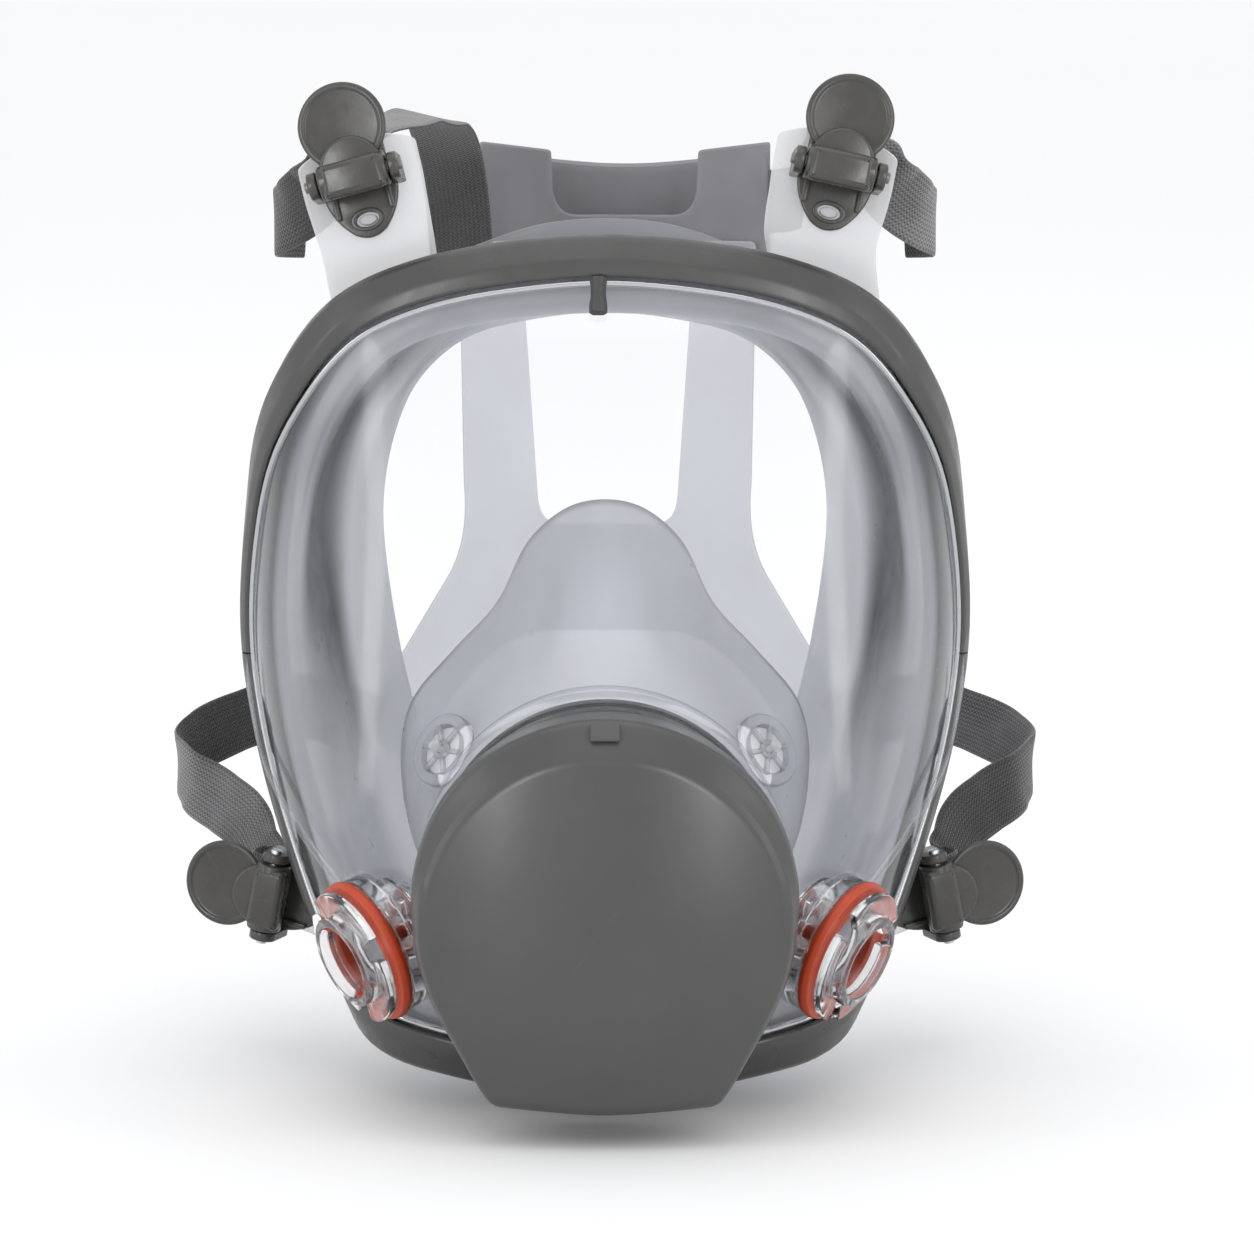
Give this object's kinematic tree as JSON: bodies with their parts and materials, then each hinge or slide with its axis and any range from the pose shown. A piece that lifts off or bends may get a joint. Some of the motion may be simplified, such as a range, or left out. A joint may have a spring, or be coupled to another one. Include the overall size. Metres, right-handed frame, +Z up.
{
  "type": "full face respirator",
  "caption": "Full face respirator: clear visor in a grey two-piece frame, soft face seal, nose cup, bayonet filter ports, exhalation valve cover and an elastic head harness on cam buckles.",
  "frame": {"origin": "centre of the face opening, in the plane of the face seal's lip", "axes": "-Y is the front of the mask, away from the wearer; +X is to the right seen from the front; +Z is up"},
  "size_m": [0.2214, 0.2101, 0.2444],
  "materials": {
    "clear_plastic": "clear moulded polycarbonate",
    "grey_plastic": "fine satin moulded nylon",
    "silicone": "translucent silicone",
    "orange_gasket": "moulded rubber",
    "webbing": "woven elastic",
    "steel": "plated pins and screws",
    "crown_plastic": "smooth flexible plastic",
    "pale_plastic": "pale translucent flexible plastic",
    "dark_rubber": "moulded rubber"
  },
  "bodies": {
    "mask": {"face_seal": "silicone", "visor_lens": "clear_plastic", "upper_frame": "grey_plastic", "lower_frame": "grey_plastic", "visor_clip": "grey_plastic", "center_adapter": "grey_plastic", "adapter_gasket": "dark_rubber", "adapter_lock_ring": "grey_plastic", "nose_cup": "silicone", "nose_cup_clamp": "grey_plastic", "frame_screw_left": "steel", "frame_nut_left": "steel", "filter_port_left": "clear_plastic", "port_gasket_left": "orange_gasket", "cup_valve_seat_left": "pale_plastic", "frame_screw_right": "steel", "frame_nut_right": "steel", "filter_port_right": "clear_plastic", "port_gasket_right": "orange_gasket", "cup_valve_seat_right": "pale_plastic", "buckle_base_upper_left": "grey_plastic", "buckle_pin_upper_left": "steel", "strap_upper_left": "webbing", "buckle_base_upper_right": "grey_plastic", "buckle_pin_upper_right": "steel", "strap_upper_right": "webbing", "buckle_base_lower_left": "grey_plastic", "buckle_pin_lower_left": "steel", "strap_lower_left": "webbing", "buckle_base_lower_right": "grey_plastic", "buckle_pin_lower_right": "steel", "strap_lower_right": "webbing"},
    "valve_cover": {"valve_cover": "grey_plastic"},
    "exhalation_valve": {"exhalation_valve": "silicone"},
    "harness": {"crown_panel": "crown_plastic", "back_cradle": "pale_plastic"},
    "lever_upper_left": {"buckle_lever_upper_left": "grey_plastic"},
    "lever_upper_right": {"buckle_lever_upper_right": "grey_plastic"},
    "lever_lower_left": {"buckle_lever_lower_left": "grey_plastic"},
    "lever_lower_right": {"buckle_lever_lower_right": "grey_plastic"},
    "inhalation_valve_left": {"inhalation_valve_left": "silicone"},
    "cup_valve_left": {"cup_valve_flap_left": "silicone"},
    "inhalation_valve_right": {"inhalation_valve_right": "silicone"},
    "cup_valve_right": {"cup_valve_flap_right": "silicone"}
  },
  "joints": [
    {"name": "lever_upper_left_hinge", "type": "hinge", "parent": "mask", "child": "lever_upper_left", "pos_m": [-0.06073, -0.05202, 0.10762], "axis": [0.9628, -0.0648, 0.2624], "range_deg": [0, 75]},
    {"name": "lever_upper_right_hinge", "type": "hinge", "parent": "mask", "child": "lever_upper_right", "pos_m": [0.0568, -0.05204, 0.10952], "axis": [0.9762, 0.0329, -0.2142], "range_deg": [0, 75]},
    {"name": "lever_lower_left_hinge", "type": "hinge", "parent": "mask", "child": "lever_lower_left", "pos_m": [-0.08433, -0.0277, -0.07423], "axis": [0.1816, -0.0573, 0.9817], "range_deg": [0, 75]},
    {"name": "lever_lower_right_hinge", "type": "hinge", "parent": "mask", "child": "lever_lower_right", "pos_m": [0.08433, -0.0277, -0.07423], "axis": [0.1816, 0.0573, -0.9817], "range_deg": [0, 75]},
    {"name": "harness_stretch", "type": "slide", "parent": "mask", "child": "harness", "axis": [0, 1, 0], "range_m": [0, 0.04], "stiffness_N_per_m": 150, "deforming": ["strap_upper_left", "strap_upper_right", "strap_lower_left", "strap_lower_right"]},
    {"name": "valve_cover_pull", "type": "slide", "parent": "mask", "child": "valve_cover", "axis": [0, -1, 0], "range_m": [0, 0.04]},
    {"name": "exhalation_valve_lift", "type": "slide", "parent": "mask", "child": "exhalation_valve", "axis": [0, -1, 0], "range_m": [0, 0.0015], "stiffness_N_per_m": 20},
    {"name": "inhalation_valve_left_lift", "type": "slide", "parent": "mask", "child": "inhalation_valve_left", "axis": [0.8092, 0.4795, 0.3396], "range_m": [0, 0.0015], "stiffness_N_per_m": 20},
    {"name": "cup_valve_left_lift", "type": "slide", "parent": "mask", "child": "cup_valve_left", "axis": [0.6612, 0.6211, -0.4208], "range_m": [0, 0.0012], "stiffness_N_per_m": 20},
    {"name": "inhalation_valve_right_lift", "type": "slide", "parent": "mask", "child": "inhalation_valve_right", "axis": [-0.8092, 0.4795, 0.3396], "range_m": [0, 0.0015], "stiffness_N_per_m": 20},
    {"name": "cup_valve_right_lift", "type": "slide", "parent": "mask", "child": "cup_valve_right", "axis": [-0.6612, 0.6211, -0.4208], "range_m": [0, 0.0012], "stiffness_N_per_m": 20}
  ]
}
